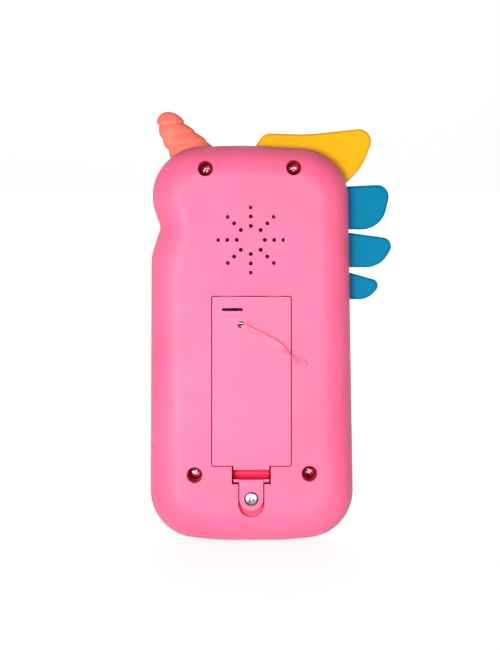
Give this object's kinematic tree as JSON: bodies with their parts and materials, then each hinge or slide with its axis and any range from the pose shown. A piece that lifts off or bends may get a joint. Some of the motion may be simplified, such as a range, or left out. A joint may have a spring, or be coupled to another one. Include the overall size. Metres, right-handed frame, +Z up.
{
  "type": "toy cell phone",
  "caption": "Unicorn-shaped toy cell phone with sprung keys, a horn, crest and mane tufts, a speaker grille and a screwed battery cover.",
  "frame": {"origin": "middle of the flat bottom edge of the back shell, in its straight rim near the parting plane", "axes": "+Z up towards the horn, -Y out of the back with the battery cover, +X to the right seen from the back, towards the mane"},
  "size_m": [0.0857, 0.0288, 0.1526],
  "materials": {
    "pink_shell": "semi-gloss moulded ABS",
    "pink_cover": "semi-gloss moulded ABS, a shade paler",
    "coral_plastic": "satin moulded plastic",
    "yellow_plastic": "satin moulded plastic",
    "blue_plastic": "satin moulded plastic",
    "screw_steel": "bright zinc plate",
    "cell_jacket": "printed sleeve without lettering",
    "contact_metal": "nickel-plated spring steel",
    "tab_film": "clear film",
    "wire_red": "PVC insulation",
    "wire_black": "PVC insulation",
    "board_laminate": "solder mask over paper laminate",
    "chip_epoxy": "poured epoxy",
    "component_body": "moulded component bodies",
    "led_lens": "clear epoxy",
    "speaker_steel": "pressed steel",
    "magnet_iron": "dark plated",
    "speaker_film": "thin pressed film",
    "mat_silicone": "silicone rubber",
    "lens_clear": "clear polystyrene",
    "card_print": "printed card with plain shapes",
    "eye_black": "gloss moulded plastic",
    "nostril_pink": "gloss moulded plastic",
    "key_green": "gloss moulded plastic",
    "key_violet": "gloss moulded plastic",
    "key_red": "gloss moulded plastic"
  },
  "bodies": {
    "phone": {"rear_case": "pink_shell", "front_case": "pink_shell", "horn": "coral_plastic", "mane_crest": "yellow_plastic", "mane_tufts": "blue_plastic", "case_screws": "screw_steel", "board_screws": "screw_steel", "battery_left": "cell_jacket", "battery_right": "cell_jacket", "positive_contact": "contact_metal", "negative_contact": "contact_metal", "link_contact": "contact_metal", "battery_wires": "wire_red", "speaker_wires": "wire_black", "circuit_board": "board_laminate", "sound_chip": "chip_epoxy", "board_components": "component_body", "leds": "led_lens", "speaker_frame": "speaker_steel", "speaker_magnet": "magnet_iron", "speaker_cone": "speaker_film", "keypad_mat": "mat_silicone", "display_lens": "lens_clear", "picture_card": "card_print", "eye_insert": "eye_black", "nostril_insert": "nostril_pink"},
    "cover": {"battery_cover": "pink_cover"},
    "latch_screw": {"cover_screw": "screw_steel"},
    "tab": {"pull_tab": "tab_film"},
    "key_1_body": {"key_1": "yellow_plastic"},
    "key_2_body": {"key_2": "blue_plastic"},
    "key_3_body": {"key_3": "coral_plastic"},
    "key_4_body": {"key_4": "blue_plastic"},
    "key_5_body": {"key_5": "coral_plastic"},
    "key_6_body": {"key_6": "yellow_plastic"},
    "key_7_body": {"key_7": "coral_plastic"},
    "key_8_body": {"key_8": "yellow_plastic"},
    "key_9_body": {"key_9": "blue_plastic"},
    "key_star_body": {"key_star": "yellow_plastic"},
    "key_0_body": {"key_0": "blue_plastic"},
    "key_hash_body": {"key_hash": "coral_plastic"},
    "key_call_body": {"key_call": "key_green"},
    "key_music_body": {"key_music": "key_violet"},
    "key_light_body": {"key_light": "key_red"}
  },
  "joints": [
    {"name": "battery_cover_swing", "type": "hinge", "parent": "phone", "child": "cover", "pos_m": [0, -0.014, 0.0866], "axis": [-1, 0, 0], "range_deg": [0, 45]},
    {"name": "cover_screw_turn", "type": "hinge", "parent": "cover", "child": "latch_screw", "pos_m": [0.0002, -0.0126, 0.016], "axis": [0, -1, 0], "continuous": true},
    {"name": "pull_tab_slide", "type": "slide", "parent": "phone", "child": "tab", "axis": [0, -1, 0], "range_m": [0, 0.037]},
    {"name": "key_1_press", "type": "slide", "parent": "phone", "child": "key_1_body", "axis": [0, -1, 0], "range_m": [0, 0.0012], "stiffness_N_per_m": 400, "springref_m": -0.0005, "deforming": ["keypad_mat"]},
    {"name": "key_2_press", "type": "slide", "parent": "phone", "child": "key_2_body", "axis": [0, -1, 0], "range_m": [0, 0.0012], "stiffness_N_per_m": 400, "springref_m": -0.0005, "deforming": ["keypad_mat"]},
    {"name": "key_3_press", "type": "slide", "parent": "phone", "child": "key_3_body", "axis": [0, -1, 0], "range_m": [0, 0.0012], "stiffness_N_per_m": 400, "springref_m": -0.0005, "deforming": ["keypad_mat"]},
    {"name": "key_4_press", "type": "slide", "parent": "phone", "child": "key_4_body", "axis": [0, -1, 0], "range_m": [0, 0.0012], "stiffness_N_per_m": 400, "springref_m": -0.0005, "deforming": ["keypad_mat"]},
    {"name": "key_5_press", "type": "slide", "parent": "phone", "child": "key_5_body", "axis": [0, -1, 0], "range_m": [0, 0.0012], "stiffness_N_per_m": 400, "springref_m": -0.0005, "deforming": ["keypad_mat"]},
    {"name": "key_6_press", "type": "slide", "parent": "phone", "child": "key_6_body", "axis": [0, -1, 0], "range_m": [0, 0.0012], "stiffness_N_per_m": 400, "springref_m": -0.0005, "deforming": ["keypad_mat"]},
    {"name": "key_7_press", "type": "slide", "parent": "phone", "child": "key_7_body", "axis": [0, -1, 0], "range_m": [0, 0.0012], "stiffness_N_per_m": 400, "springref_m": -0.0005, "deforming": ["keypad_mat"]},
    {"name": "key_8_press", "type": "slide", "parent": "phone", "child": "key_8_body", "axis": [0, -1, 0], "range_m": [0, 0.0012], "stiffness_N_per_m": 400, "springref_m": -0.0005, "deforming": ["keypad_mat"]},
    {"name": "key_9_press", "type": "slide", "parent": "phone", "child": "key_9_body", "axis": [0, -1, 0], "range_m": [0, 0.0012], "stiffness_N_per_m": 400, "springref_m": -0.0005, "deforming": ["keypad_mat"]},
    {"name": "key_star_press", "type": "slide", "parent": "phone", "child": "key_star_body", "axis": [0, -1, 0], "range_m": [0, 0.0012], "stiffness_N_per_m": 400, "springref_m": -0.0005, "deforming": ["keypad_mat"]},
    {"name": "key_0_press", "type": "slide", "parent": "phone", "child": "key_0_body", "axis": [0, -1, 0], "range_m": [0, 0.0012], "stiffness_N_per_m": 400, "springref_m": -0.0005, "deforming": ["keypad_mat"]},
    {"name": "key_hash_press", "type": "slide", "parent": "phone", "child": "key_hash_body", "axis": [0, -1, 0], "range_m": [0, 0.0012], "stiffness_N_per_m": 400, "springref_m": -0.0005, "deforming": ["keypad_mat"]},
    {"name": "key_call_press", "type": "slide", "parent": "phone", "child": "key_call_body", "axis": [0, -1, 0], "range_m": [0, 0.0012], "stiffness_N_per_m": 400, "springref_m": -0.0005, "deforming": ["keypad_mat"]},
    {"name": "key_music_press", "type": "slide", "parent": "phone", "child": "key_music_body", "axis": [0, -1, 0], "range_m": [0, 0.0012], "stiffness_N_per_m": 400, "springref_m": -0.0005, "deforming": ["keypad_mat"]},
    {"name": "key_light_press", "type": "slide", "parent": "phone", "child": "key_light_body", "axis": [0, -1, 0], "range_m": [0, 0.0012], "stiffness_N_per_m": 400, "springref_m": -0.0005, "deforming": ["keypad_mat"]}
  ],
  "couplings": [
    {"joint": "pull_tab_slide", "follows": "battery_cover_swing", "m_per_rad": 0.046}
  ]
}
